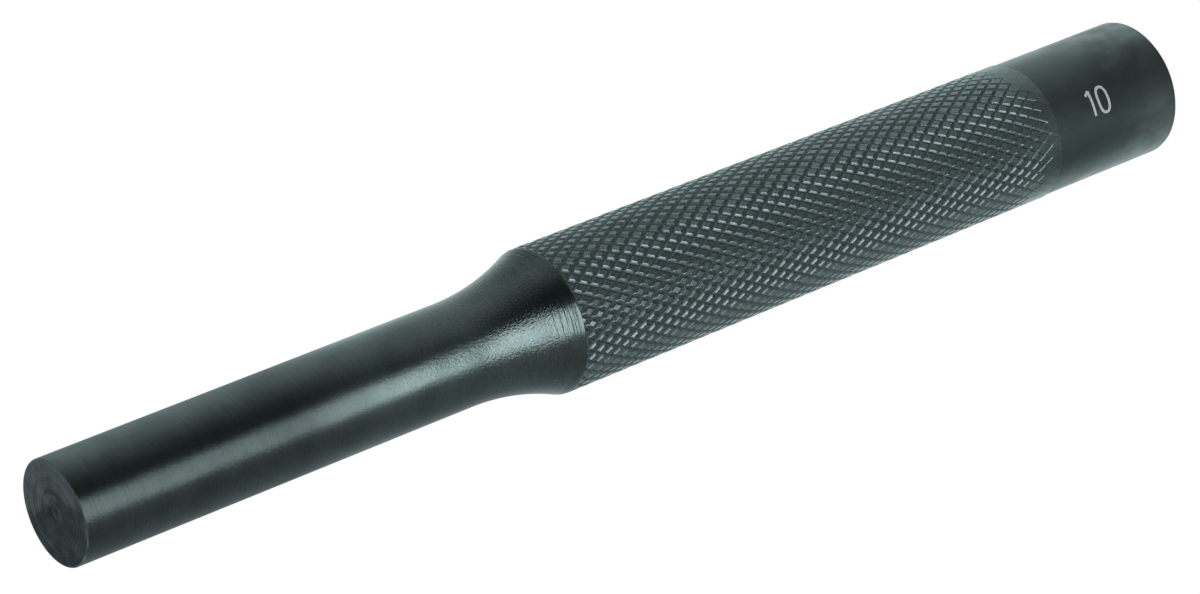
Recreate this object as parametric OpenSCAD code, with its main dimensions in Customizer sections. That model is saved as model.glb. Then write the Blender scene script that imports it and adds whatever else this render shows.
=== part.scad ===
// Pin punch turned from one bar of tool steel, in millimetres
// It lies along X: the driving face is at X = 0 and the striking head points to +X

/* [Bar] */
// Diameter of the bar, which the smooth head keeps
bar_d = 13.8; // [12.5:0.1:16]

/* [Pin] */
// Diameter of the straight pin
pin_d = 10; // [3:0.5:11]
// Straight length of the pin, from the driving face to the neck
pin_l = 43; // [20:1:70]
// Width of the broken edge round the driving face
tip_break = 0.2; // [0.1:0.05:0.6]

/* [Neck] */
// Radius of the hollow sweep from the pin up to the grip
neck_r = 26; // [6:1:60]
// Rounding of the shoulder just before the knurl
shoulder_r = 0.8; // [0.2:0.1:2]
// How far the shoulder stays below the points of the knurl
shoulder_drop = 0.1; // [0:0.05:0.3]

/* [Knurled grip] */
// How far the knurl's points are raised above the bar
knurl_rise = 0.2; // [0.1:0.05:0.4]
// Length of the knurled stretch
knurl_l = 60.4; // [20:0.2:75]
// Distance between neighbouring grooves, measured square to them
knurl_pitch = 1; // [0.9:0.1:2]
// Angle of the grooves to the axis, in degrees
knurl_angle = 30; // [20:1:45]
// Depth of the grooves below the points at the neck
knurl_depth = 0.4; // [0.2:0.05:0.5]
// Depth of the grooves near the head, where the knurl was pressed in less
knurl_end_depth = 0.35; // [0.1:0.05:0.5]
// Plain band between the last grooves and the head
plain_l = 1.6; // [0.4:0.1:5]
// Stretch before the plain band over which the grooves fade out
runout_l = 3; // [1:0.5:10]

/* [Striking head] */
// Length of the smooth head, from the knurl to the striking face
head_l = 16.4; // [8:0.2:30]
// Width of the broken edge round the striking face
head_break = 0.5; // [0.1:0.1:1]
// Width of the narrow cone between the knurl's last ring and the head
head_step = 0.2; // [0.1:0.1:0.6]

/* [Hidden] */

// Turned surfaces are true curves
turned_fn = 180;

pin_r = pin_d / 2;
head_r = bar_d / 2;
// Radius over the points where the knurl starts, and where it meets the head's narrow cone
grip_r = head_r + knurl_rise;
end_r = head_r + head_step / 2;

// The hollow sweep and the shoulder's rounding touch where their centres are both radii apart
arcs_r = neck_r + shoulder_r;
shoulder_top_r = grip_r - shoulder_drop;
sweep_rise = shoulder_top_r - pin_r;
neck_l = sqrt(pow(arcs_r, 2) - pow(arcs_r - sweep_rise, 2));
shoulder_share = shoulder_r / arcs_r;

neck_x = pin_l;
grip_x = neck_x + neck_l;
head_x = grip_x + knurl_l;

// As many grooves each way as fit round the bar
knurl_starts = round(PI * bar_d * cos(knurl_angle) / knurl_pitch);
// Each row of points is turned by half a groove from the row before
row_places = 2 * knurl_starts;
row_angle = 360 / row_places;
row_step = PI * bar_d / row_places / tan(knurl_angle);
rows = round(knurl_l / row_step);

// Everything is turned about Z and then laid along X
module laid_down(start) {
    translate([start, 0, 0]) rotate([0, 90, 0]) children();
}

// Straight pin with a broken edge at its driving face
module pin() {
    color([0.20, 0.23, 0.23])
    laid_down(0)
    rotate_extrude($fn = turned_fn)
    polygon([
        [0, 0],
        [pin_r - tip_break, 0],
        [pin_r, tip_break],
        [pin_r, pin_l],
        [0, pin_l]
    ]);
}

// Half of the neck's section: a hollow arc that runs into a small round shoulder
module neck_section() {
    sweep_centre = [pin_r + neck_r, 0];
    shoulder_centre = [shoulder_top_r - shoulder_r, neck_l];
    touch = shoulder_centre + (sweep_centre - shoulder_centre) * shoulder_share;
    difference() {
        polygon([[0, 0], [pin_r, 0], touch, shoulder_centre, [0, neck_l]]);
        translate(sweep_centre) circle(r = neck_r, $fn = turned_fn);
    }
    intersection() {
        translate(shoulder_centre) circle(r = shoulder_r, $fn = turned_fn);
        square([shoulder_top_r, neck_l]);
    }
}

// Neck that carries the pin's diameter up to the grip
module neck() {
    color([0.20, 0.23, 0.23])
    laid_down(neck_x)
    rotate_extrude($fn = turned_fn)
    neck_section();
}

// Share of the groove depth that is left, from all before the run-out to none on the plain band
function runout_share(z) = max(0, min(1, (knurl_l - plain_l - z) / runout_l));

// Groove depth, which falls slowly towards the head and fades out in the run-out
function groove_depth(z) =
    (knurl_depth + (knurl_end_depth - knurl_depth) * z / knurl_l) * runout_share(z);

// Radius over the points, which falls evenly to the start of the head
function crest_r(z) = grip_r - (grip_r - end_r) * z / knurl_l;

// Points and groove crossings take turns along a row, and change places from row to row
function is_point(row, place) = (row + place) % 2 == 0;

function knurl_vertex(row, place) =
    let (
        z = knurl_l * row / rows,
        r = crest_r(z) - (is_point(row, place) ? 0 : groove_depth(z))
    )
    [r * cos(place * row_angle), r * sin(place * row_angle), z];

function vertex_index(row, place) = row * row_places + place % row_places;

// The four corners between two rows make two triangles that share the bottom of a groove
function diamond_sides(row, place) =
    let (
        a = vertex_index(row, place),
        b = vertex_index(row, place + 1),
        c = vertex_index(row + 1, place + 1),
        d = vertex_index(row + 1, place)
    )
    is_point(row, place) ? [[a, d, b], [b, d, c]] : [[a, c, b], [a, d, c]];

// Grip with a diamond knurl, one four-sided point between each pair of crossing grooves
module knurled_grip() {
    ring_points = [for (row = [0:rows], place = [0:row_places - 1]) knurl_vertex(row, place)];
    start_centre = len(ring_points);
    end_centre = start_centre + 1;
    sides = [for (row = [0:rows - 1], place = [0:row_places - 1]) each diamond_sides(row, place)];
    start_cap = [
        for (place = [0:row_places - 1])
        [start_centre, vertex_index(0, place), vertex_index(0, place + 1)]
    ];
    end_cap = [
        for (place = [0:row_places - 1])
        [end_centre, vertex_index(rows, place + 1), vertex_index(rows, place)]
    ];
    color([0.15, 0.18, 0.18])
    laid_down(grip_x)
    polyhedron(
        points = concat(ring_points, [[0, 0, 0], [0, 0, knurl_l]]),
        faces = concat(sides, start_cap, end_cap)
    );
}

// Smooth head with a small step up to the knurl and a broken edge round its striking face
module striking_head() {
    color([0.23, 0.26, 0.26])
    laid_down(head_x)
    rotate_extrude($fn = turned_fn)
    polygon([
        [0, 0],
        [end_r, 0],
        [head_r, head_step],
        [head_r, head_l - head_break],
        [head_r - head_break, head_l],
        [0, head_l]
    ]);
}

pin();
neck();
knurled_grip();
striking_head();
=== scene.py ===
"""Builds the finished look of a one-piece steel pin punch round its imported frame.

The punch lies along X. Its driving face is at X = 0 and its striking head points to +X.
Every size is in metres. Stretches of the bar take their places from the frame.
"""

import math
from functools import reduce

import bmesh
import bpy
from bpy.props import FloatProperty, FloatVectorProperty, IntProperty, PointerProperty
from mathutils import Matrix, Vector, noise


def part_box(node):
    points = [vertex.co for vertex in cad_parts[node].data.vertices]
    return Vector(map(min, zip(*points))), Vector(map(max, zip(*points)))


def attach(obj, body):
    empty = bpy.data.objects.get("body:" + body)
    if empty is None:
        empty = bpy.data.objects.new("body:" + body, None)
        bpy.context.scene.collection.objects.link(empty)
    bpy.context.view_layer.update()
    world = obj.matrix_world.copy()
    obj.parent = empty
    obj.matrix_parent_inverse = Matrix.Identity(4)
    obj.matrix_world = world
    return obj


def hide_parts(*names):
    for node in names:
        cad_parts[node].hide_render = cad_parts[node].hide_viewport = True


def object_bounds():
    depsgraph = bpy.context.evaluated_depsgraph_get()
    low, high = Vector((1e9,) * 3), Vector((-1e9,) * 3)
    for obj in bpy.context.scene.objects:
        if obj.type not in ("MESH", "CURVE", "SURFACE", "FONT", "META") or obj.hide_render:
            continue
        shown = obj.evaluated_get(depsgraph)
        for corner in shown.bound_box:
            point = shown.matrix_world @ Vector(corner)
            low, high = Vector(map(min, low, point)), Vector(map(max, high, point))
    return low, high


bl_info = {
    "name": "Pin Punch Builder",
    "version": (1, 0, 0),
    "blender": (4, 5, 0),
    "location": "3D View > Sidebar > Pin Punch",
    "description": "Turns, knurls, finishes and lights a steel pin punch",
    "category": "Object",
}

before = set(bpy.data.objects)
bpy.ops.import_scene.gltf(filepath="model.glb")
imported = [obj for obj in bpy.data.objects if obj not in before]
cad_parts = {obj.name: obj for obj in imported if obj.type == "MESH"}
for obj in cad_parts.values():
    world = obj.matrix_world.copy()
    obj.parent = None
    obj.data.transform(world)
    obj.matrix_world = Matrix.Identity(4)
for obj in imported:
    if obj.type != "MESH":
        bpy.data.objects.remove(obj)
CAD_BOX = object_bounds()

MM = 0.001
BODY = "root"
PIN_START, PIN_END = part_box("pin")
NECK_START, NECK_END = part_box("neck")
GRIP_START, GRIP_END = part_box("knurled_grip")
HEAD_START, HEAD_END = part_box("striking_head")

# Segments round every turned stretch
TURNED_STEPS = 192
# Steps along the curves of the turned sections
FACING_STEPS = 44
BROKEN_EDGE_STEPS = 5
SWEEP_STEPS = 40
SHOULDER_STEPS = 6
# Edges sharper than this stay crisp
CRISP_ANGLE = math.radians(33)


# Sizes, colours and settings

class PinSizes(bpy.types.PropertyGroup):
    """Sizes of the straight pin and its faced end."""

    edge_break: FloatProperty(
        name="Edge break",
        description="Radius of the broken edge round the driving face",
        default=0.15 * MM, min=0.05 * MM, unit="LENGTH", precision=5,
    )
    ring_pitch: FloatProperty(
        name="Facing pitch",
        description="Distance between the rings that the facing tool left",
        default=0.42 * MM, min=0.1 * MM, unit="LENGTH", precision=5,
    )
    ring_depth: FloatProperty(
        name="Facing depth",
        description="Depth of those rings",
        default=0.02 * MM, unit="LENGTH", precision=6,
    )
    pip_radius: FloatProperty(
        name="Centre pip",
        description="Radius of the small pip that parting off left at the centre",
        default=0.55 * MM, unit="LENGTH", precision=5,
    )


class NeckSizes(bpy.types.PropertyGroup):
    """Sizes of the neck that carries the pin up to the grip."""

    shoulder_radius: FloatProperty(
        name="Shoulder rounding",
        description="Radius of the shoulder just before the knurl",
        default=0.8 * MM, unit="LENGTH", precision=5,
    )
    raised: FloatProperty(
        name="Raised",
        description="How far the shoulder stands above the solid's, up to the knurl's points",
        default=0.07 * MM, unit="LENGTH", precision=5,
    )


class KnurlSizes(bpy.types.PropertyGroup):
    """Sizes of the diamond knurl."""

    starts: IntProperty(
        name="Grooves each way",
        description="How many grooves run round the grip in each direction",
        default=38, min=12,
    )
    angle: FloatProperty(
        name="Groove angle",
        description="Angle of the grooves to the axis",
        default=math.radians(30), unit="ROTATION",
    )
    depth: FloatProperty(
        name="Depth at the neck",
        description="Depth of the grooves where the knurl starts",
        default=0.16 * MM, unit="LENGTH", precision=5,
    )
    end_depth: FloatProperty(
        name="Depth at the head",
        description="Depth of the grooves just before they run out",
        default=0.115 * MM, unit="LENGTH", precision=5,
    )
    flank_slope: FloatProperty(
        name="Flank slope",
        description="Rise of a flank for each unit of width, on the second set of grooves",
        default=0.70,
    )
    cross_slope: FloatProperty(
        name="Crossing slope",
        description="Rise of a flank for each unit of width, on the first set of grooves",
        default=0.66,
    )
    bottom_share: FloatProperty(
        name="Bottom share",
        description="Half the width of a groove's round bottom, as a share of the pitch",
        default=0.035, min=0.01, max=0.1,
    )
    edge_share: FloatProperty(
        name="Edge share",
        description="Half the width of a point's round edge, as a share of the pitch",
        default=0.015, min=0.005, max=0.1,
    )
    runout: FloatProperty(
        name="Run-out",
        description="Stretch over which the grooves fade before the plain band",
        default=3.8 * MM, unit="LENGTH", precision=4,
    )
    plain_band: FloatProperty(
        name="Plain band",
        description="Greatest width of the plain band between the last grooves and the head",
        default=2.3 * MM, unit="LENGTH", precision=5,
    )
    narrow_band: FloatProperty(
        name="Narrow band",
        description="Least width of the plain band",
        default=0.7 * MM, unit="LENGTH", precision=5,
    )
    lean: FloatProperty(
        name="Lean",
        description="How fast the plain band widens on both sides of its narrowest place",
        default=3.2 * MM, unit="LENGTH", precision=5,
    )
    lean_from: FloatProperty(
        name="Lean from",
        description="Place round the bar where the plain band is narrowest",
        default=math.radians(150), unit="ROTATION",
    )
    wander: FloatProperty(
        name="Wander",
        description="How far a groove strays from its even place, as a share of the pitch",
        default=0.03, min=0, max=0.1,
    )
    end_drop: FloatProperty(
        name="Drop to the head",
        description="How much lower the points are at the head than at the neck",
        default=0.1 * MM, unit="LENGTH", precision=5,
    )
    unevenness: FloatProperty(
        name="Unevenness",
        description="Height of the small dents and rises that pressing left",
        default=0.008 * MM, unit="LENGTH", precision=6,
    )


class HeadSizes(bpy.types.PropertyGroup):
    """Sizes of the smooth striking head."""

    step: FloatProperty(
        name="Step",
        description="How far the head lies below the knurl's last ring",
        default=0.1 * MM, unit="LENGTH", precision=5,
    )
    step_width: FloatProperty(
        name="Step width",
        description="Length of the narrow cone that makes the step",
        default=0.09 * MM, unit="LENGTH", precision=5,
    )
    edge_break: FloatProperty(
        name="Edge break",
        description="Width of the broken edge round the striking face",
        default=0.5 * MM, unit="LENGTH", precision=5,
    )


class MarkSizes(bpy.types.PropertyGroup):
    """Place and size of the plain size number on the head."""

    start: FloatProperty(
        name="Start",
        description="Distance from the knurl's end to the number",
        default=4.3 * MM, unit="LENGTH", precision=5,
    )
    facing: FloatProperty(
        name="Facing",
        description="Elevation of the number's middle round the bar",
        default=math.radians(34), unit="ROTATION",
    )
    height: FloatProperty(
        name="Height",
        description="Height of the digits, measured round the bar",
        default=2.6 * MM, unit="LENGTH", precision=5,
    )
    stroke: FloatProperty(
        name="Stroke",
        description="Width of a stroke",
        default=0.29 * MM, unit="LENGTH", precision=5,
    )
    proud: FloatProperty(
        name="Relief",
        description="How far the etched strokes stand out of the head",
        default=0.012 * MM, unit="LENGTH", precision=6,
    )


class Finish(bpy.types.PropertyGroup):
    """Colours of the black finish, of the paler steel painted as a highlight on the driving edge, and of
    the size number.
    """

    oxide: FloatVectorProperty(
        name="Black finish",
        description="Colour of the blackened steel",
        subtype="COLOR", size=3, min=0, max=1, default=(0.066, 0.088, 0.088),
    )
    oxide_dark: FloatVectorProperty(
        name="Dark patches",
        description="Colour where the finish is thickest",
        subtype="COLOR", size=3, min=0, max=1, default=(0.056, 0.076, 0.076),
    )
    point: FloatVectorProperty(
        name="Knurl points",
        description="Colour of the finish on the knurl's points, rubbed thinner than elsewhere",
        subtype="COLOR", size=3, min=0, max=1, default=(0.094, 0.128, 0.132),
    )
    flank: FloatVectorProperty(
        name="Knurl flanks",
        description="Colour of the finish on the sides of the points",
        subtype="COLOR", size=3, min=0, max=1, default=(0.090, 0.120, 0.124),
    )
    groove: FloatVectorProperty(
        name="Knurl grooves",
        description="Colour of the finish at the bottom of the grooves",
        subtype="COLOR", size=3, min=0, max=1, default=(0.058, 0.078, 0.081),
    )
    faced: FloatVectorProperty(
        name="Faced end",
        description="Colour of the faced end where the finish is thin",
        subtype="COLOR", size=3, min=0, max=1, default=(0.066, 0.073, 0.084),
    )
    faced_dark: FloatVectorProperty(
        name="Faced end, dark",
        description="Colour of the faced end where the finish is thick",
        subtype="COLOR", size=3, min=0, max=1, default=(0.010, 0.012, 0.015),
    )
    # Painted highlight: this paler steel lights the driving edge on the camera's side
    rubbed: FloatVectorProperty(
        name="Rubbed edge",
        description="Colour of the steel that shows through on the driving edge",
        subtype="COLOR", size=3, min=0, max=1, default=(0.17, 0.22, 0.25),
    )
    # Also the colour of the painted light on the head's lower rim
    stain_and_rim_light: FloatVectorProperty(
        name="Head stains",
        description="Colour of the paler stains on the head",
        subtype="COLOR", size=3, min=0, max=1, default=(0.105, 0.136, 0.132),
    )
    head_edge: FloatVectorProperty(
        name="Head's edge",
        description="Colour of the finish on the broken edge round the striking face",
        subtype="COLOR", size=3, min=0, max=1, default=(0.02, 0.025, 0.025),
    )
    mark: FloatVectorProperty(
        name="Size number",
        description="Colour of the etched number",
        subtype="COLOR", size=3, min=0, max=1, default=(0.36, 0.42, 0.39),
    )


class StageSettings(bpy.types.PropertyGroup):
    """Where the camera and the softbox stand, and how bright the studio is."""

    aim: FloatProperty(
        name="Aim",
        description="Point of the axis that the camera looks at",
        default=60.49 * MM, unit="LENGTH", precision=5,
    )
    distance: FloatProperty(
        name="Distance",
        description="Distance of the camera from that point",
        default=433.73 * MM, unit="LENGTH", precision=5,
    )
    heading: FloatProperty(
        name="Heading",
        description="Direction of view, from +X towards +Y",
        default=math.radians(50.506), unit="ROTATION",
    )
    tilt: FloatProperty(
        name="Tilt",
        description="How far the camera looks down",
        default=math.radians(28.811), unit="ROTATION",
    )
    lens: FloatProperty(
        name="Lens",
        description="Focal length on a 36 mm sensor, in millimetres",
        default=140.16,
    )
    softbox: FloatProperty(
        name="Softbox",
        description="Brightness of the softbox's face",
        default=5.6,
    )
    softbox_place: FloatVectorProperty(
        name="Softbox place",
        description="Middle of the softbox's face, which looks along +Y",
        subtype="TRANSLATION", size=3, unit="LENGTH", default=(128 * MM, -400 * MM, 150 * MM),
    )
    softbox_width: FloatProperty(
        name="Softbox width",
        description="Width of the softbox's face",
        default=366 * MM, unit="LENGTH", precision=4,
    )
    softbox_height: FloatProperty(
        name="Softbox height",
        description="Height of the softbox's face",
        default=310 * MM, unit="LENGTH", precision=4,
    )
    floor_white: FloatProperty(
        name="Floor white",
        description="Brightness of the floor as the camera sees it",
        default=1.02,
    )


# Shapes


def reach(corner):
    """Radius of a turned stretch, from the highest corner of its box."""
    return max(corner.y, corner.z)


def clamped(value):
    """Keeps a value from 0 to 1."""
    return min(1, max(0, value))


def hump(share):
    """A smooth rise to 1 and back to 0 over each whole share."""
    return 0.5 - 0.5 * math.cos(math.tau * share)


def on_bar(x, radius, angle):
    """Place at a distance from the axis, at an angle from +Y towards +Z."""
    return x, radius * math.cos(angle), radius * math.sin(angle)


def arc(centre, radius, start, end, steps):
    """Points along an arc in a section, as (along the axis, radius) pairs."""
    turn = (end - start) / steps
    return [
        (
            centre[0] + radius * math.cos(start + turn * step),
            centre[1] + radius * math.sin(start + turn * step),
        )
        for step in range(steps + 1)
    ]


def as_object(bm, name, materials):
    """Turns a finished bmesh into a piece with crisp edges and its materials."""
    bmesh.ops.recalc_face_normals(bm, faces=bm.faces)
    mesh = bpy.data.meshes.new(name)
    bm.to_mesh(mesh)
    bm.free()
    mesh.shade_smooth()
    mesh.set_sharp_from_angle(angle=CRISP_ANGLE)
    for material in materials:
        mesh.materials.append(material)
    piece = bpy.data.objects.new(name, mesh)
    bpy.context.scene.collection.objects.link(piece)
    return piece


def turned(section, faced_steps=0):
    """Revolves a section round the X axis. Its ends are closed by a point on the axis.

    The faces of the first faced_steps steps get the second material.
    """
    bm = bmesh.new()
    first = bm.verts.new((section[0][0], 0, 0))
    angles = [math.tau * step / TURNED_STEPS for step in range(TURNED_STEPS)]
    rings = [
        [bm.verts.new(on_bar(x, radius, angle)) for angle in angles]
        for x, radius in section[1:-1]
    ]
    last = bm.verts.new((section[-1][0], 0, 0))
    for step in range(TURNED_STEPS):
        after = (step + 1) % TURNED_STEPS
        fan = [bm.faces.new((first, rings[0][after], rings[0][step]))]
        for inner, outer in zip(rings, rings[1:]):
            fan.append(bm.faces.new((inner[step], inner[after], outer[after], outer[step])))
        fan.append(bm.faces.new((last, rings[-1][step], rings[-1][after])))
        for face in fan[:faced_steps]:
            face.material_index = 1
    return bm


def faced_end(sizes, radius):
    """Section of the driving face: a centre pip, a dip round it and the facing rings."""
    inner = radius - sizes.edge_break
    # Share of the full depth that a middling ring has, and the row of the noise that varies it
    even, row = 0.6, 3.1
    points = []
    for step in range(FACING_STEPS + 1):
        r = inner * step / FACING_STEPS
        varied = even + (1 - even) * noise.noise(Vector((r / sizes.ring_pitch / 2, row, 0)))
        depth = sizes.ring_depth * hump(r / sizes.ring_pitch) * varied
        if r < sizes.pip_radius * 2:
            depth += sizes.ring_depth * 2 * hump(r / sizes.pip_radius / 2)
        # The last ring runs out before the broken edge
        left = min(1, (inner - r) / sizes.ring_pitch)
        points.append((PIN_START.x + depth * left, r))
    return points


def neck_section(sizes):
    """Section of the neck: a hollow sweep that runs into a small round shoulder."""
    pin_radius, top_radius = reach(PIN_END), reach(NECK_END) + sizes.raised
    length, rise = NECK_END.x - NECK_START.x, top_radius - pin_radius
    # The two arcs touch where their centres are both radii apart
    both = (length ** 2 + rise ** 2) / (2 * rise)
    sweep_radius = both - sizes.shoulder_radius
    sweep_centre = (NECK_START.x, pin_radius + sweep_radius)
    shoulder_centre = (NECK_END.x, top_radius - sizes.shoulder_radius)
    turn, up = math.asin(length / both), math.pi / 2
    sweep = arc(sweep_centre, sweep_radius, -up, turn - up, SWEEP_STEPS)
    shoulder = arc(shoulder_centre, sizes.shoulder_radius, turn + up, up, SHOULDER_STEPS)
    return [(NECK_START.x, 0), *sweep, *shoulder[1:], (NECK_END.x, 0)]


class GrooveProfile:
    """Depth, width and lines of the knurl's grooves at each place along the grip."""

    # Lines that cut each pitch: both sides of the bottom and both sides of each edge
    LINES = 6
    # Least half width of a groove, as a share of the pitch
    LEAST_HALF = 0.1
    # How far down its flank a point's round edge ends, in half widths of that edge
    EDGE_DROP = 1.3
    # How far the last grooves run into the plain band, or stop short of it
    BAND_STRAY = 0.9 * MM
    # How much the depth varies from patch to patch, and the length of a patch along the bar
    PATCH_SHARE = 0.22
    PATCH_LENGTH = 4 * MM
    # Radius, in the noise that places the patches, of the circle that stands for one turn
    PATCH_CIRCLE = 3
    # Widths of large and small dents with their shares, and the noise level that leaves none
    DENTS = ((0.9 * MM, 1), (0.35 * MM, 0.6))
    DENT_LEVEL = 0.6

    def __init__(self, sizes):
        self.sizes = sizes
        self.length = GRIP_END.x - GRIP_START.x
        self.crest = reach(GRIP_END)
        self.lead = math.tau * (self.crest - sizes.end_drop) / sizes.starts / math.tan(sizes.angle)
        self.pitch = self.lead * math.sin(sizes.angle)

    def depth(self, x, turn):
        """Groove depth at a distance along the grip and a place round it, in turns."""
        sizes, angle, circle = self.sizes, turn * math.tau, self.PATCH_CIRCLE
        full = sizes.depth + (sizes.end_depth - sizes.depth) * clamped(x / self.length)
        around = Vector((circle * math.cos(angle), circle * math.sin(angle), 0))
        widened = sizes.lean * (1 - math.cos(angle - sizes.lean_from))
        plain = min(sizes.plain_band, sizes.narrow_band + widened)
        left = clamped(
            (self.length - plain - x + self.BAND_STRAY * noise.noise(around)) / sizes.runout
        )
        pressed = 1 + self.PATCH_SHARE * noise.noise(around + Vector((0, 0, x / self.PATCH_LENGTH)))
        return full * pressed * left * (2 - left)

    def half_width(self, depth, slope):
        """Half of a groove's width, as a share of the pitch."""
        return max(self.LEAST_HALF, self.sizes.bottom_share + depth / slope / self.pitch)

    def offset(self, line, half_width):
        """Where a line lies within a pitch, for a groove that wide."""
        bottom, edge = self.sizes.bottom_share, self.sizes.edge_share
        inner, outer = half_width - edge, half_width + edge
        return (bottom, inner, outer, 1 - outer, 1 - inner, 1 - bottom)[line]

    def cut(self, across, half_width):
        """Share of the depth that is cut away at a place across the pitch."""
        bottom, edge = self.sizes.bottom_share, self.sizes.edge_share
        nearest = abs(across - round(across))
        # Both limits lie half an edge off the round edge's lines, so rounding can't mix them up
        if nearest > half_width + edge / 2:
            return 0
        if nearest > half_width - edge * 3 / 2:
            return self.EDGE_DROP * edge / (half_width - bottom)
        return min(1, (half_width - nearest) / (half_width - bottom))

    def stray(self, groove, family):
        """How far a groove lies from its even place."""
        return self.sizes.wander * noise.cell(Vector((groove % self.sizes.starts, family + 0.5, 0.5)))

    def point(self, first, second):
        """The surface where a line of the first set of grooves crosses a line of the second."""
        sizes, lines = self.sizes, self.LINES
        whole = [index // lines for index in (first, second)]
        line = [index % lines for index in (first, second)]
        u, v = (at + (step + 0.5) / lines for at, step in zip(whole, line))
        depth = self.depth(self.lead * (u - v) / 2, (u + v) / 2 / sizes.starts)
        half_widths = [self.half_width(depth, slope) for slope in (sizes.cross_slope, sizes.flank_slope)]
        offsets = [self.offset(step, half) for step, half in zip(line, half_widths)]
        # The second half of a pitch's lines belong to the next groove
        u, v = (
            at + offset + self.stray(at + (step >= lines / 2), family)
            for at, offset, step, family in zip(whole, offsets, line, (0, 1))
        )
        along, angle = self.lead * (u - v) / 2, math.pi * (u + v) / sizes.starts
        x = GRIP_START.x + along
        radius = self.crest - sizes.end_drop * clamped(along / self.length)
        radius -= depth * max(self.cut(offset, half) for offset, half in zip(offsets, half_widths))
        place = Vector(on_bar(x, radius, angle))
        dents = sum(share * noise.noise(place / width) for width, share in self.DENTS)
        radius += sizes.unevenness * min(0, dents - self.DENT_LEVEL)
        return on_bar(x, radius, angle)


def pressed_shading(mesh):
    """Lets each point's flanks and top keep their own slant and rounds only the narrow strips between."""
    # Only the cut ends face along the bar this nearly
    end_facing = 0.98
    ends = {face.index for face in mesh.polygons if abs(face.normal.x) > end_facing}
    sums = [Vector() for _ in mesh.vertices]
    for face in mesh.polygons:
        if face.index not in ends:
            pull = face.normal * (face.area / MM ** 2) ** 2
            for index in face.vertices:
                sums[index] += pull
    normals = []
    for face in mesh.polygons:
        for index in face.vertices:
            normals.append(face.normal if face.index in ends else sums[index].normalized())
    mesh.normals_split_custom_set(normals)


def knurled(sizes):
    """Grip surface as a net of lines that follow both sets of grooves, cut square at its ends."""
    profile = GrooveProfile(sizes)
    around = sizes.starts * profile.LINES
    margin = profile.LINES
    along = math.ceil(2 * profile.length / profile.lead * profile.LINES) + 2 * margin
    bm = bmesh.new()
    net = [
        [bm.verts.new(profile.point(first, first - row + margin)) for row in range(along + 1)]
        for first in range(around)
    ]

    def vertex(first, second):
        # A whole turn moves both sets of lines on by all their grooves
        row = first - second + margin
        return net[first % around][row] if 0 <= row <= along else None

    for first in range(around):
        for row in range(along + 1):
            second = first - row + margin
            corners = (
                vertex(first, second), vertex(first + 1, second),
                vertex(first + 1, second + 1), vertex(first, second + 1),
            )
            if None in corners:
                continue
            # Strips 0 and 1 climb away from a groove's bottom, and strips 3 and 4 fall towards the next
            u, v = first % profile.LINES, second % profile.LINES
            mirrored = (u < 2) != (v < 2)
            slanted = u not in (2, 5) and v not in (2, 5)
            ridge = slanted and ((u + v == 4) if mirrored else (u == v))
            if not ridge:
                bm.faces.new(corners)
            elif mirrored:
                bm.faces.new((corners[0], corners[1], corners[3]))
                bm.faces.new((corners[1], corners[2], corners[3]))
            else:
                bm.faces.new((corners[0], corners[1], corners[2]))
                bm.faces.new((corners[0], corners[2], corners[3]))
    # Points this near to a cut are moved onto it, and edges this near to it are its rim
    snap, near = 0.0002 * MM, 0.01 * MM
    for x, way in ((GRIP_START.x, -1), (GRIP_END.x, 1)):
        everything = [*bm.verts, *bm.edges, *bm.faces]
        bmesh.ops.bisect_plane(
            bm, geom=everything, dist=snap, plane_co=(x, 0, 0), plane_no=(way, 0, 0), clear_outer=True
        )
        rim = [edge for edge in bm.edges if edge.is_boundary and abs(edge.verts[0].co.x - x) < near]
        bmesh.ops.edgeloop_fill(bm, edges=rim)
    return bm


def head_section(sizes):
    """Section of the head: the narrow cone from the knurl, the barrel and a broken edge."""
    top, radius = reach(HEAD_END), reach(HEAD_END) - sizes.step
    edge = sizes.edge_break
    # A flatter cone softens both rims of the broken edge: how far off it starts, and its drop
    soft, drop = edge * 1.4, edge * 0.12
    barrel = [
        (HEAD_START.x, top),
        (HEAD_START.x + sizes.step_width, radius),
        (HEAD_START.x + sizes.step_width * 3, radius),
        (HEAD_END.x - soft, radius),
        (HEAD_END.x - edge, radius - drop),
        (HEAD_END.x - drop, radius - edge),
        (HEAD_END.x, radius - soft),
        (HEAD_END.x, (radius - edge) / 2),
    ]
    return [(HEAD_START.x, 0), *barrel, (HEAD_END.x, 0)]


def band(points, width, closed):
    """Left and right sides of a stroke along flat points."""
    sides = []
    count = len(points)
    for index, here in enumerate(points):
        before = points[(index - 1) % count] if closed or index else here
        after = points[(index + 1) % count] if closed or index < count - 1 else here
        way = (after - before).normalized()
        across = Vector((-way.y, way.x)) * width / 2
        sides.append((here + across, here - across))
    return sides


def squared(value):
    """Draws a circle's sine or cosine out towards a square."""
    return math.copysign(abs(value) ** 0.8, value)


def digit_strokes(height):
    """Strokes of the digits 1 and 0, as flat points and whether the stroke is closed."""
    stem_steps, round_steps = 14, 44
    width = height * 0.5
    stem, middle = width * 0.62, width * 1.75
    flag_width, flag_drop = width * 0.4, height * 0.17
    one = [Vector((stem, height * (step / stem_steps - 0.5))) for step in range(stem_steps + 1)]
    flag = [
        Vector((stem - flag_width * share, height / 2 - flag_drop * share))
        for share in (0, 0.35, 0.7, 1)
    ]
    turns = [math.tau * step / round_steps for step in range(round_steps)]
    nought = [
        Vector((middle + width / 2 * squared(math.cos(turn)), height / 2 * squared(math.sin(turn))))
        for turn in turns
    ]
    return [(one, False), (flag, False), (nought, True)]


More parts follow.
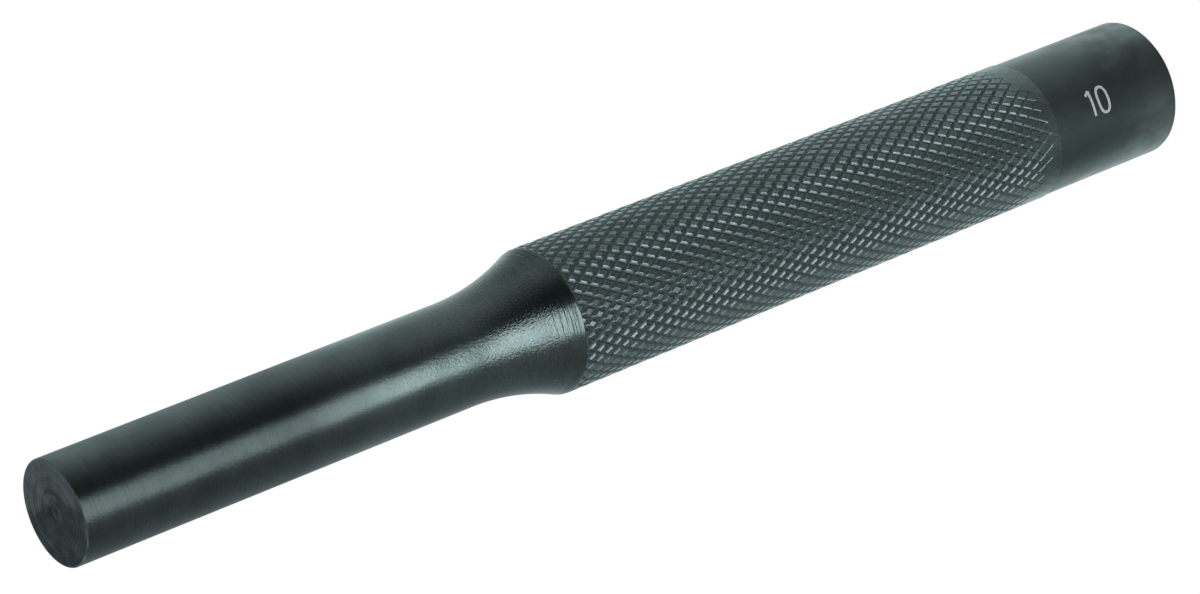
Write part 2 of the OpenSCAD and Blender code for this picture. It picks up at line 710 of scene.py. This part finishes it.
def size_number(sizes, radius):
    """Etched size number, as thin closed bands that follow the head's curve."""
    bm = bmesh.new()
    low, high = radius - sizes.proud, radius + sizes.proud

    def on_head(flat, r):
        # The number faces the camera's side, so its angle is counted from -Y
        angle = math.pi - sizes.facing - flat.y / radius
        return on_bar(HEAD_START.x + sizes.start + flat.x, r, angle)

    for points, closed in digit_strokes(sizes.height):
        slices = []
        for left, right in band(points, sizes.stroke, closed):
            corners = ((left, low), (right, low), (right, high), (left, high))
            slices.append([bm.verts.new(on_head(flat, r)) for flat, r in corners])
        pairs = list(zip(slices, slices[1:]))
        if closed:
            pairs.append((slices[-1], slices[0]))
        else:
            bm.faces.new(slices[0])
            bm.faces.new(reversed(slices[-1]))
        for here, after in pairs:
            for side in range(4):
                beside = (side + 1) % 4
                bm.faces.new((here[side], after[side], after[beside], here[beside]))
    return bm


# Materials


def between(start, end, origin=0):
    """Two distances in metres, given in millimetres from an origin."""
    return origin + start * MM, origin + end * MM


def node(tree, kind, inputs=None, **settings):
    """Adds a shader node, sets its options, and fills or links its inputs."""
    made = tree.nodes.new(kind)
    for key, value in settings.items():
        setattr(made, key, value)
    for key, value in (inputs or {}).items():
        if isinstance(value, bpy.types.NodeSocket):
            tree.links.new(value, made.inputs[key])
        else:
            made.inputs[key].default_value = value
    return made


def maths(tree, operation, first, second=0.0):
    """Adds one sum and gives its result."""
    return node(tree, "ShaderNodeMath", {0: first, 1: second}, operation=operation).outputs[0]


def added(tree, *terms):
    """Adds up two values or more."""
    return reduce(lambda total, term: maths(tree, "ADD", total, term), terms)


def less(tree, first, second):
    """Takes the second value away from the first."""
    return maths(tree, "SUBTRACT", first, second)


def times(tree, *factors):
    """Multiplies two values or more."""
    return reduce(lambda product, factor: maths(tree, "MULTIPLY", product, factor), factors)


def ramp(tree, value, limits, levels=(0, 1)):
    """Carries a value from its limits to two levels, smoothly and clamped."""
    (low, high), (to_low, to_high) = limits, levels
    made = node(
        tree, "ShaderNodeMapRange",
        {"Value": value, "From Min": low, "From Max": high, "To Min": to_low, "To Max": to_high},
        interpolation_type="SMOOTHSTEP",
    )
    return made.outputs["Result"]


def split(tree, place):
    """The three parts of a place or direction: along the bar, across it and up."""
    return node(tree, "ShaderNodeSeparateXYZ", {0: place}).outputs


def from_axis(tree, y, z):
    """Distance from the axis of the bar."""
    flat = node(tree, "ShaderNodeCombineXYZ", {1: y, 2: z})
    return node(tree, "ShaderNodeVectorMath", {0: flat.outputs[0]}, operation="LENGTH").outputs["Value"]


def blotches(tree, place, scale, detail=4.0, per_axis=(1, 1, 1)):
    """Cloudy noise with about one cloud in each 1 / (scale * per_axis) metres."""
    moved = node(tree, "ShaderNodeMapping", {"Vector": place, "Scale": per_axis})
    made = node(
        tree, "ShaderNodeTexNoise",
        {"Vector": moved.outputs[0], "Scale": scale, "Detail": detail, "Roughness": 0.55},
    )
    return made.outputs[0]


def mixed(tree, colours, share):
    """Mixes two colours, or results of earlier mixes, by a share."""
    first, second = (
        colour if isinstance(colour, bpy.types.NodeSocket) else (*colour, 1) for colour in colours
    )
    return node(tree, "ShaderNodeMix", {0: share, 6: first, 7: second}, data_type="RGBA").outputs[2]


def blended(tree, values, share):
    """Mixes two values by a share."""
    return node(
        tree, "ShaderNodeMix", {0: share, 2: values[0], 3: values[1]}, data_type="FLOAT"
    ).outputs[0]


def lightened(tree, colour, level):
    """Makes a colour lighter by a level above 1, or darker by one below."""
    return node(tree, "ShaderNodeVectorMath", {0: colour, "Scale": level}, operation="SCALE").outputs[0]


def paint(tree, shader, colours, share):
    """Mixes two finish colours by a share into the shader's colour."""
    tree.links.new(mixed(tree, colours, share), shader.inputs["Base Color"])


def roughen(tree, shader, roughness):
    """Gives the shader its roughness at each place."""
    tree.links.new(roughness, shader.inputs["Roughness"])


def along_bar(tree, shader, amount):
    """Spreads the shine along the bar by an amount, as marks that run round the bar do."""
    around = node(tree, "ShaderNodeTangent", direction_type="RADIAL", axis="X")
    tree.links.new(around.outputs[0], shader.inputs["Tangent"])
    tree.links.new(amount, shader.inputs["Anisotropic"])
    shader.inputs["Anisotropic Rotation"].default_value = 0.25


def turning_marks(tree, place, strength, along=5200, across=260):
    """Height of the fine marks round the bar that the lathe left, by their strength at each place."""
    return times(tree, blotches(tree, place, 1.0, 2.0, (along, across, across)), strength)


def emboss(tree, shader, height, distance):
    """Lets a height shade the surface as relief."""
    bump = node(tree, "ShaderNodeBump", {"Height": height, "Distance": distance})
    tree.links.new(bump.outputs[0], shader.inputs["Normal"])


def surface(name):
    """A new material: its tree, shader and place on the piece."""
    material = bpy.data.materials.new(name)
    material.use_nodes = True
    tree = material.node_tree
    place = node(tree, "ShaderNodeTexCoord").outputs["Object"]
    return material, tree, tree.nodes["Principled BSDF"], place


def steel(name):
    """A metal material with a slightly green shine."""
    material, tree, shader, place = surface(name)
    shader.inputs["Metallic"].default_value = 1.0
    shader.inputs["Specular Tint"].default_value = (0.86, 1.0, 0.98, 1.0)
    return material, tree, shader, place


def turned_tone_and_painted_light(tree, place, x, y):
    """How light the turned finish is: streaked near the tip and speckled towards the neck, with painted
    light that sets the highlight's strength along the bar and the brightness along its top.
    """
    streaks = times(
        tree,
        ramp(tree, blotches(tree, place, 1.0, 3.0, (4200, 420, 420)), (0.36, 0.62), (-1, 1)),
        ramp(tree, x, between(16, 44), (0.05, 0.04)),
    )
    specks = times(
        tree,
        ramp(tree, blotches(tree, place, 5500, 2.0), (0.36, 0.62), (-1, 1)),
        ramp(tree, x, between(26, 46), (0.03, 0.13)),
    )
    # Painted light: darker near the tip, lighter towards the neck and a little darker on the shoulder,
    # setting the highlight's strength along the bar
    level = less(
        tree,
        ramp(tree, x, between(20, 42), (0.84, 1.14)),
        ramp(tree, x, between(44.5, 50.5), (0, 0.17)),
    )
    # Painted light: along the top the bar is lighter near the tip and darker before the knurl
    top = times(tree, ramp(tree, y, between(-2.8, 1.4)), ramp(tree, x, between(10, 48), (0.8, -0.38)))
    return added(tree, streaks, specks, added(tree, level, times(tree, level, top)))


def turned_relief(tree, place, x, clouds):
    """Marks of the lathe near the tip and on the shoulder, and a grain that is strongest between them."""
    tip = times(
        tree,
        ramp(tree, x, between(12, 36), (3.4, 0.2)),
        ramp(tree, clouds, (0.3, 0.65), (0.35, 1)),
        ramp(tree, x, between(0.2, 1), (0.1, 1)),
    )
    shoulder = ramp(tree, x, between(-4.5, -1.5, NECK_END.x), (0, 3.2))
    marks = turning_marks(tree, place, added(tree, tip, shoulder))
    grainy = less(
        tree,
        ramp(tree, x, between(30, 46), (0.9, 2.4)),
        ramp(tree, x, between(-3.2, -0.8, NECK_END.x), (0, 1.9)),
    )
    return added(tree, marks, times(tree, blotches(tree, place, 5000, 3.0), grainy))


def turned_oxide(finish):
    """Black finish over turning marks, with paler steel painted as a highlight on the driving edge where
    it faces the camera.
    """
    material, tree, shader, place = steel("turned_oxide")
    x, y, _ = split(tree, place)
    clouds = blotches(tree, place, 260)
    colour = mixed(tree, (finish.oxide_dark, finish.oxide), ramp(tree, clouds, (0.35, 0.6)))
    colour = lightened(tree, colour, turned_tone_and_painted_light(tree, place, x, y))
    # Painted highlight: paler steel on the driving edge, only on its side towards the camera
    rubbed = times(
        tree,
        ramp(tree, blotches(tree, place, 900), (0.35, 0.6), (0.1, 0.7)),
        ramp(tree, x, between(0.05, 0.18), (1, 0)),
        ramp(tree, y, between(-4.2, -2.5), (1, 0)),
    )
    paint(tree, shader, (colour, finish.rubbed), rubbed)
    emboss(tree, shader, turned_relief(tree, place, x, clouds), 0.016 * MM)
    # The dull, streaky finish of the tip gives way to a smoother one
    smoother = between(22, 38)
    along_bar(tree, shader, ramp(tree, x, smoother, (0.9, 0.1)))
    stains = times(tree, blotches(tree, place, 700), 0.06)
    roughen(tree, shader, added(tree, ramp(tree, x, smoother, (0.41, 0.18)), stains))
    return material


def faced_oxide(finish):
    """Black finish on the faced end, thinner on the rings that the tool left, with painted light that
    makes its upper side lighter.
    """
    material, tree, shader, place = steel("faced_oxide")
    _, y, z = split(tree, place)
    radius = from_axis(tree, y, z)
    clouds = blotches(tree, place, 700, 5.0)
    wavy = added(tree, radius, times(tree, clouds, 0.5 * MM))
    ring = node(tree, "ShaderNodeCombineXYZ", {0: wavy})
    rings = blotches(tree, ring.outputs[0], 1500, 4.0)
    # Broad rings: the distance between them, and where the first turns from dark to pale
    ring_gap, first_ring = 1.2 * MM, 1.4 * MM
    turns = times(tree, less(tree, wavy, first_ring), math.tau / ring_gap)
    broad = times(tree, maths(tree, "SINE", turns), 0.12)
    # Painted light makes the face lighter towards its upper side; the finish thins towards the rim
    upper = added(tree, times(tree, y, 0.5), times(tree, z, 0.87))
    side = ramp(tree, upper, between(-0.6, 1.4), (-0.34, 0.26))
    rim = added(tree, ramp(tree, radius, between(0.6, 5), (-0.24, 0.2)), broad)
    share = added(tree, times(tree, rings, 1.1), times(tree, clouds, 0.9), added(tree, side, rim))
    paint(tree, shader, (finish.faced_dark, finish.faced), ramp(tree, share, (0.72, 1.5)))
    relief = added(tree, rings, times(tree, blotches(tree, place, 6000, 3.0), 0.5))
    emboss(tree, shader, relief, 0.03 * MM)
    roughen(tree, shader, ramp(tree, clouds, (0.3, 0.7), (0.5, 0.36)))
    return material


def knurl_oxide(sizes, finish):
    """Black finish on the knurl: rubbed smooth on the points, satin on the flanks, dull in the grooves."""
    material, tree, shader, place = steel("knurl_oxide")
    x, y, z = split(tree, place)
    length = GRIP_END.x - GRIP_START.x
    # Depth below the points, which lie lower towards the head
    along = less(tree, x, GRIP_START.x)
    fall = times(tree, along, sizes.end_drop / length)
    depth = less(tree, reach(GRIP_END), added(tree, from_axis(tree, y, z), fall))
    point = ramp(tree, depth, between(0.018, 0.05), (1, 0))
    bottom = ramp(tree, depth, between(0.08, 0.14))
    share = times(tree, point, ramp(tree, blotches(tree, place, 300), (0.3, 0.65), (0.6, 1)))
    colour = mixed(tree, (finish.flank, finish.point), share)
    colour = mixed(tree, (colour, finish.groove), bottom)
    # Mottled all over, with painted light that makes it lighter along the top and on the side near the
    # floor
    mottle = ramp(tree, blotches(tree, place, 4200, 3.0), (0.36, 0.64), (0.8, 1.2))
    thinner = added(
        tree,
        ramp(tree, y, between(-3.5, -0.5), (1, 1.25)),
        ramp(tree, z, between(-2.5, -0.5), (0.12, 0)),
    )
    colour = lightened(tree, colour, times(tree, mottle, thinner))
    # The plain band was never pressed, so its finish is nearer to the head's
    plain = ramp(tree, along, between(-4.5, -2, length), (0, 0.55))
    paint(tree, shader, (colour, finish.oxide), plain)
    emboss(tree, shader, blotches(tree, place, 5000, 3.0), 0.002 * MM)
    dull = times(tree, added(tree, bottom, plain), 0.15)
    roughen(tree, shader, added(tree, ramp(tree, point, (0, 1), (0.45, 0.16)), dull))
    return material


def head_oxide(finish):
    """Satin black finish on the head, with soft stains, painted light on its lower side and a darker
    broken edge.
    """
    material, tree, shader, place = steel("head_oxide")
    x, _, z = split(tree, place)
    stains = blotches(tree, place, 330, 5.0, (1, 1.6, 1.6))
    # Painted light: the pale share rises towards the bottom, where the floor's reflection brightens the
    # lower rim; it also rises towards the striking end
    pale = added(
        tree,
        stains,
        ramp(tree, z, between(-6.5, 0), (0.25, 0)),
        ramp(tree, x, between(118, 129), (-0.2, 0.18)),
    )
    colour = mixed(tree, (finish.oxide_dark, finish.stain_and_rim_light), ramp(tree, pale, (0.38, 0.85)))
    # The broken edge keeps most of its black, and the striking face behind it is plain again
    kept = (0, 0.85)
    edge = less(
        tree,
        ramp(tree, x, between(-0.8, -0.5, HEAD_END.x), kept),
        ramp(tree, x, between(-0.06, -0.01, HEAD_END.x), kept),
    )
    paint(tree, shader, (colour, finish.head_edge), edge)
    fine = times(tree, blotches(tree, place, 5200, 2.0), 0.5)
    marks = turning_marks(tree, place, 0.35, along=4200)
    emboss(tree, shader, added(tree, fine, marks), 0.012 * MM)
    satin = ramp(tree, stains, (0.3, 0.7), (0.34, 0.26))
    roughen(tree, shader, added(tree, satin, ramp(tree, x, between(116, 128), (0, 0.07))))
    return material


def etched_mark(finish):
    """Pale, matt strokes where the finish was etched away."""
    material, tree, shader, place = surface("etched_mark")
    shader.inputs["Roughness"].default_value = 0.6
    dark = [share * 0.7 for share in finish.mark]
    specks = blotches(tree, place, 9000, 2.0)
    paint(tree, shader, (dark, finish.mark), ramp(tree, specks, (0.4, 0.6)))
    return material


# Steps that make the pieces


def settle(piece, slot, *nodes):
    """Seats a finished piece on the punch's one body, in place of its plain stretches."""
    if not piece.data.polygons:
        raise RuntimeError(f"{piece.name} has no faces")
    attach(piece, BODY)
    if nodes:
        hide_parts(*nodes)


class PUNCH_OT_pin(bpy.types.Operator):
    """Turns the straight pin and faces its end"""

    bl_idname = "punch.pin"
    bl_label = "Turn the pin"

    def execute(self, context):
        sizes, finish = context.scene.punch_pin, context.scene.punch_finish
        radius = reach(PIN_END)
        face = faced_end(sizes, radius)
        centre = (PIN_START.x + sizes.edge_break, radius - sizes.edge_break)
        edge = arc(centre, sizes.edge_break, math.pi, math.pi / 2, BROKEN_EDGE_STEPS)
        section = [*face, *edge[1:], (PIN_END.x, radius), (PIN_END.x, 0)]
        bm = turned(section, faced_steps=len(face) - 1)
        piece = as_object(bm, "turned_pin", [turned_oxide(finish), faced_oxide(finish)])
        settle(piece, "turned_steel", "pin")
        return {"FINISHED"}


class PUNCH_OT_neck(bpy.types.Operator):
    """Turns the neck from the pin up to its round shoulder"""

    bl_idname = "punch.neck"
    bl_label = "Turn the neck"

    def execute(self, context):
        bm = turned(neck_section(context.scene.punch_neck))
        piece = as_object(bm, "turned_neck", [bpy.data.materials["turned_oxide"]])
        settle(piece, "turned_steel", "neck")
        return {"FINISHED"}


class PUNCH_OT_grip(bpy.types.Operator):
    """Presses the diamond knurl into the grip"""

    bl_idname = "punch.grip"
    bl_label = "Knurl the grip"

    def execute(self, context):
        sizes, finish = context.scene.punch_knurl, context.scene.punch_finish
        piece = as_object(knurled(sizes), "diamond_knurl", [knurl_oxide(sizes, finish)])
        pressed_shading(piece.data)
        settle(piece, "knurled_steel", "knurled_grip")
        return {"FINISHED"}


class PUNCH_OT_head(bpy.types.Operator):
    """Turns the smooth head and breaks its edge"""

    bl_idname = "punch.head"
    bl_label = "Turn the head"

    def execute(self, context):
        bm = turned(head_section(context.scene.punch_head))
        piece = as_object(bm, "smooth_head", [head_oxide(context.scene.punch_finish)])
        settle(piece, "head_steel", "striking_head")
        return {"FINISHED"}


class PUNCH_OT_mark(bpy.types.Operator):
    """Etches the plain size number on the head"""

    bl_idname = "punch.mark"
    bl_label = "Etch the size number"

    def execute(self, context):
        radius = reach(HEAD_END) - context.scene.punch_head.step
        bm = size_number(context.scene.punch_mark, radius)
        piece = as_object(bm, "size_mark", [etched_mark(context.scene.punch_finish)])
        settle(piece, "head_steel")
        return {"FINISHED"}


# Studio


def white_floor(settings):
    """Floor that is pure white to the camera and only pale where the steel mirrors it, with a painted
    reflection glow under and behind the bar.
    """
    material = bpy.data.materials.new("pale_floor")
    material.use_nodes = True
    tree = material.node_tree
    tree.nodes.clear()
    path = node(tree, "ShaderNodeLightPath").outputs
    matt = node(tree, "ShaderNodeBsdfDiffuse", {"Color": (0.6, 0.6, 0.6, 1)})
    white = node(tree, "ShaderNodeEmission", {"Color": (1, 1, 1, 1), "Strength": settings.floor_white})
    # Seen directly, the floor shows almost nothing but its own white
    own_share = 0.98
    seen = times(tree, added(tree, path["Is Camera Ray"], path["Is Transmission Ray"]), own_share)
    # Painted reflection: to glossy rays only, the floor glows whiter under and behind the bar than in
    # front of it
    x, y, _ = split(tree, node(tree, "ShaderNodeTexCoord").outputs["Object"])
    along = added(
        tree,
        ramp(tree, x, between(46, 62), (0.3, 0.95)),
        ramp(tree, x, between(28, 40), (0.3, 0)),
    )
    painted_reflection_glow = ramp(tree, y, between(-14, -3), (0.12, along))
    share = added(tree, seen, times(tree, path["Is Glossy Ray"], painted_reflection_glow))
    look = node(tree, "ShaderNodeMixShader", {0: share, 1: matt.outputs[0], 2: white.outputs[0]})
    node(tree, "ShaderNodeOutputMaterial", {"Surface": look.outputs[0]})
    return material


def floor_plane(settings):
    """Wide floor that the grip's points rest on."""
    far, low = 6.0, CAD_BOX[0].z
    bm = bmesh.new()
    corners = ((-far, -far), (far, -far), (far, far), (-far, far))
    bm.faces.new([bm.verts.new((x, y, low)) for x, y in corners])
    floor = as_object(bm, "floor", [white_floor(settings)])


def climbing_level(tree, rise):
    """Brightness by the angle that climbs from the front over the top to the back."""
    # Angles in degrees, each with its brightness. The dark ones lie between softbox and ceiling
    steps = (
        (0, 0.5), (40, 0.3), (50, 0.1), (60, 0.12), (68, 0.3),
        (80, 0.5), (96, 0.66), (120, 0.95), (150, 1.4), (180, 1.3),
    )
    climb = node(tree, "ShaderNodeValToRGB", {0: maths(tree, "DIVIDE", rise, math.pi)})
    elements = climb.color_ramp.elements
    while len(elements) < len(steps):
        elements.new(0.5)
    for element, (degrees, level) in zip(elements, steps):
        element.position = degrees / 180
        element.color = (level, level, level, 1)
    return climb.outputs[0]


def studio_world():
    """Soft surroundings: pale behind and below, dark between the softbox and the ceiling."""
    world = bpy.data.worlds.new("studio")
    world.use_nodes = True
    bpy.context.scene.world = world
    tree = world.node_tree
    tree.nodes.clear()
    # Along x, 1 is towards the head and -1 towards the tip
    x, y, z = split(tree, node(tree, "ShaderNodeTexCoord").outputs["Generated"])
    rise = maths(tree, "ARCTAN2", z, times(tree, y, -1.0))

    def by_rise(start, end, levels):
        # Both angles are in degrees
        return ramp(tree, rise, (math.radians(start), math.radians(end)), levels)

    # Beyond the softbox's right edge the surroundings are even
    even = by_rise(40, 125, (0.6, 1.3))
    level = blended(tree, (climbing_level(tree, rise), even), ramp(tree, x, (0.548, 0.572)))
    # What slants to the tip mirrors surroundings that are brightest overhead and fade behind
    overhead = times(tree, by_rise(65, 125, (0.1, 1.15)), by_rise(130, 185, (1, 0.8)))
    level = blended(tree, (overhead, level), ramp(tree, x, (0.3, 0.5)))
    # Little is lit towards the head, so all that faces that way stays dark, but for the bar's very top
    least = by_rise(115, 150, (0.1, 1))
    level = times(tree, level, ramp(tree, x, (0.70, 0.82), (1, least)))
    # The camera itself sees white
    path = node(tree, "ShaderNodeLightPath").outputs
    level = blended(tree, (level, 1.0), path["Is Camera Ray"])
    background = node(tree, "ShaderNodeBackground", {"Strength": level})
    node(tree, "ShaderNodeOutputWorld", {"Surface": background.outputs[0]})


def softbox_lamp(settings):
    """Upright rectangular softbox in front of the bar."""
    width, height = settings.softbox_width, settings.softbox_height
    lamp = bpy.data.lights.new("softbox", "AREA")
    lamp.shape = "RECTANGLE"
    lamp.size = width
    lamp.size_y = height
    lamp.energy = settings.softbox * math.pi * width * height
    stand = bpy.data.objects.new("softbox", lamp)
    stand.location = settings.softbox_place
    stand.rotation_euler = Vector((0, 1, 0)).to_track_quat("-Z", "Y").to_euler()
    bpy.context.scene.collection.objects.link(stand)


def studio_camera(settings):
    """Camera at the photograph's angle."""
    lens = bpy.data.cameras.new("camera")
    lens.lens = settings.lens
    lens.sensor_width = 36
    camera = bpy.data.objects.new("camera", lens)
    level, heading = math.cos(settings.tilt), settings.heading
    view = Vector((level * math.cos(heading), level * math.sin(heading), -math.sin(settings.tilt)))
    camera.location = Vector((settings.aim, 0, 0)) - view * settings.distance
    camera.rotation_euler = view.to_track_quat("-Z", "Y").to_euler()
    bpy.context.scene.collection.objects.link(camera)
    bpy.context.scene.camera = camera


class PUNCH_OT_stage(bpy.types.Operator):
    """Lays the floor, sets the soft studio light and stands the camera"""

    bl_idname = "punch.stage"
    bl_label = "Set the stage"

    def execute(self, context):
        settings = context.scene.punch_stage
        studio_camera(settings)
        floor_plane(settings)
        studio_world()
        softbox_lamp(settings)
        context.scene.view_settings.view_transform = "Standard"
        return {"FINISHED"}


# Panel, registration and the making in order

GROUPS = {
    "punch_pin": PinSizes,
    "punch_neck": NeckSizes,
    "punch_knurl": KnurlSizes,
    "punch_head": HeadSizes,
    "punch_mark": MarkSizes,
    "punch_finish": Finish,
    "punch_stage": StageSettings,
}
STEPS = (PUNCH_OT_pin, PUNCH_OT_neck, PUNCH_OT_grip, PUNCH_OT_head, PUNCH_OT_mark, PUNCH_OT_stage)


class PUNCH_PT_panel(bpy.types.Panel):
    """Lists the punch's sizes and the steps that make it"""

    bl_idname = "PUNCH_PT_panel"
    bl_label = "Pin Punch"
    bl_space_type = "VIEW_3D"
    bl_region_type = "UI"
    bl_category = "Pin Punch"

    def draw(self, context):
        for step in STEPS:
            self.layout.operator(step.bl_idname)
        for name, group in GROUPS.items():
            box = self.layout.box()
            box.label(text=name.replace("_", " ").capitalize())
            for prop in group.__annotations__:
                box.prop(getattr(context.scene, name), prop)


CLASSES = (*GROUPS.values(), *STEPS, PUNCH_PT_panel)


def register():
    for made in CLASSES:
        bpy.utils.register_class(made)
    for name, group in GROUPS.items():
        setattr(bpy.types.Scene, name, PointerProperty(type=group))


def unregister():
    for name in GROUPS:
        delattr(bpy.types.Scene, name)
    for made in reversed(CLASSES):
        bpy.utils.unregister_class(made)


def main():
    register()
    bpy.ops.punch.pin()
    bpy.ops.punch.neck()
    bpy.ops.punch.grip()
    bpy.ops.punch.head()
    bpy.ops.punch.mark()
    bpy.ops.punch.stage()


if __name__ == "__main__":
    main()
